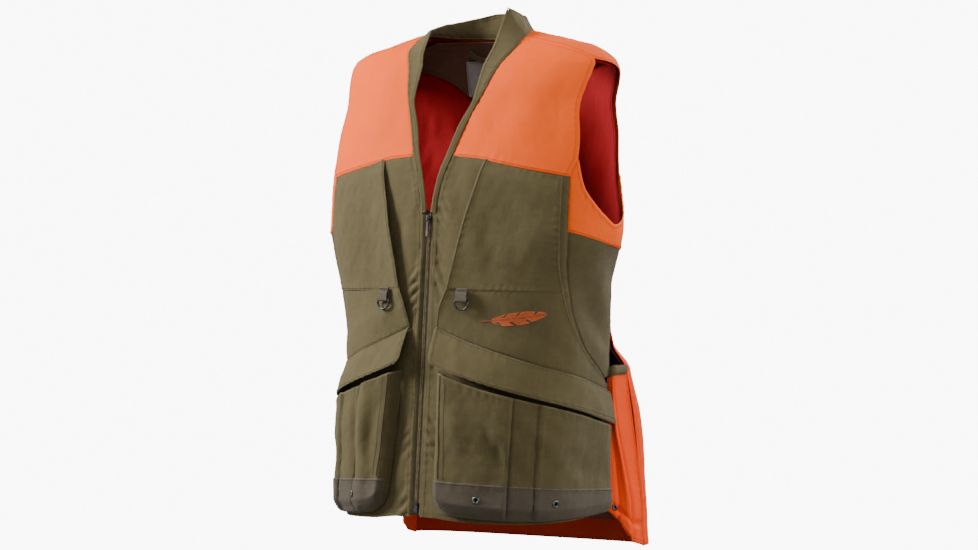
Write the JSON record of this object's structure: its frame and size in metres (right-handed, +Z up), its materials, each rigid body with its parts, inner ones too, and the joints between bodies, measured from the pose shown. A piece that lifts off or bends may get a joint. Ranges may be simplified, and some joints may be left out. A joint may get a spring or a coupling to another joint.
{
  "type": "hunting vest",
  "caption": "Sleeveless zipped hunting vest with bright shoulders, flapped bellows pockets, D-rings and a rear game bag.",
  "frame": {"origin": "centre plane at the height of the neck ends of the shoulder seams", "axes": "+Z up, -Y out of the front, +X towards the wearer's left"},
  "size_m": [0.4764, 0.3391, 0.7761],
  "materials": {
    "orange_cloth": "smooth woven polyester",
    "red_lining": "fine mesh lining",
    "brown_liner": "coated waterproof cloth",
    "dark_metal": "blackened metal",
    "coated_dark_cloth": "coated canvas",
    "grey_webbing": "narrow woven webbing",
    "label_weave": "woven label, left blank",
    "zip_coil_plastic": "nylon coil",
    "zip_tape": "woven tape",
    "brown_pull_tag": "moulded tag",
    "olive_trim": "folded cotton twill",
    "olive_canvas": "brushed cotton canvas"
  },
  "bodies": {
    "vest": {"back_panel": "olive_canvas", "back_yoke": "orange_cloth", "bag_binding_left": "olive_trim", "bag_binding_right": "olive_trim", "bag_eyelet_left": "dark_metal", "bag_eyelet_right": "dark_metal", "bag_floor": "brown_liner", "bag_gusset_left": "orange_cloth", "bag_gusset_right": "orange_cloth", "bag_inner_panel": "brown_liner", "bag_liner": "brown_liner", "bag_outer_panel": "orange_cloth", "bellows_pocket_left": "olive_canvas", "bellows_pocket_right": "olive_canvas", "chest_pocket_left": "olive_canvas", "chest_pocket_right": "olive_canvas", "collar_band": "olive_trim", "d_ring_tab_left": "grey_webbing", "d_ring_tab_right": "grey_webbing", "front_panel_left": "olive_canvas", "front_panel_right": "olive_canvas", "front_yoke_left": "orange_cloth", "front_yoke_right": "orange_cloth", "hanger_loop": "grey_webbing", "lining_back": "red_lining", "lining_front_left": "red_lining", "lining_front_right": "red_lining", "neck_facing": "brown_liner", "pocket_eyelet_inner_left": "dark_metal", "pocket_eyelet_inner_right": "dark_metal", "pocket_eyelet_outer_left": "dark_metal", "pocket_eyelet_outer_right": "dark_metal", "pocket_flap_side_left": "olive_canvas", "pocket_flap_side_right": "olive_canvas", "pocket_kick_band_left": "coated_dark_cloth", "pocket_kick_band_right": "coated_dark_cloth", "side_band_left": "orange_cloth", "side_band_right": "orange_cloth", "side_panel_left": "olive_canvas", "side_panel_right": "olive_canvas", "size_label": "label_weave", "v_band_left": "olive_trim", "v_band_right": "olive_trim", "waist_panel_left": "olive_canvas", "waist_panel_right": "olive_canvas", "zip_box": "dark_metal", "zip_coil_left": "zip_coil_plastic", "zip_coil_right": "zip_coil_plastic", "zip_tape_left": "zip_tape", "zip_tape_right": "zip_tape", "zip_top_stop_left": "dark_metal", "zip_top_stop_right": "dark_metal"},
    "d_ring_left": {"d_ring_left": "dark_metal"},
    "d_ring_right": {"d_ring_right": "dark_metal"},
    "flap_left": {"pocket_flap_front_left": "olive_canvas"},
    "flap_right": {"pocket_flap_front_right": "olive_canvas"},
    "slider": {"zip_slider": "dark_metal"},
    "pull": {"zip_pull": "brown_pull_tag"}
  },
  "joints": [
    {"name": "zip_slide", "type": "slide", "parent": "vest", "child": "slider", "axis": [0, -0.0814, -0.9967], "range_m": [0, 0.39]},
    {"name": "pull_hinge", "type": "hinge", "parent": "slider", "child": "pull", "pos_m": [0, -0.1369, -0.26671], "axis": [-1, 0, 0], "range_deg": [0, 150]},
    {"name": "d_ring_left_hinge", "type": "hinge", "parent": "vest", "child": "d_ring_left", "pos_m": [0.0687, -0.15127, -0.38263], "axis": [-0.9907, -0.1361, 0], "range_deg": [0, 150]},
    {"name": "d_ring_right_hinge", "type": "hinge", "parent": "vest", "child": "d_ring_right", "pos_m": [-0.0687, -0.15127, -0.38263], "axis": [-0.9907, 0.1361, 0], "range_deg": [0, 150]},
    {"name": "flap_left_hinge", "type": "hinge", "parent": "vest", "child": "flap_left", "pos_m": [0.0679, -0.151, -0.4381], "axis": [-0.9284, -0.1282, 0.3487], "range_deg": [0, 120]},
    {"name": "flap_right_hinge", "type": "hinge", "parent": "vest", "child": "flap_right", "pos_m": [-0.0679, -0.151, -0.4381], "axis": [-0.9284, 0.1282, -0.3487], "range_deg": [0, 120]}
  ]
}
